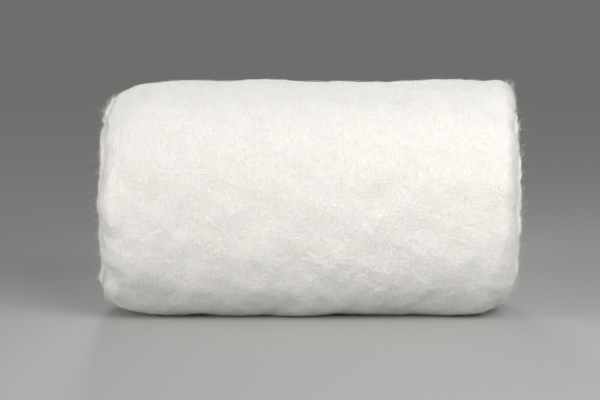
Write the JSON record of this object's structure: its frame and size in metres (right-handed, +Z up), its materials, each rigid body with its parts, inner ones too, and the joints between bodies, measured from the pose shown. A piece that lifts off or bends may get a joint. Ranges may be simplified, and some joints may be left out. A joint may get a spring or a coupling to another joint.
{
  "type": "roll of quilt batting",
  "caption": "Soft cotton quilt batting, folded lengthwise and wound into a roll, lying on its side, with rounded shoulders and spiral ends.",
  "frame": {"origin": "on the surface the roll rests on, below the middle of its bounding box", "axes": "+X along the roll, +Y towards its back, +Z up"},
  "size_m": [0.4572, 0.268, 0.256],
  "materials": {
    "batting": "matte needled cotton, slightly fuzzy"
  },
  "bodies": {
    "root": {"batting_roll": "batting"}
  },
  "joints": []
}
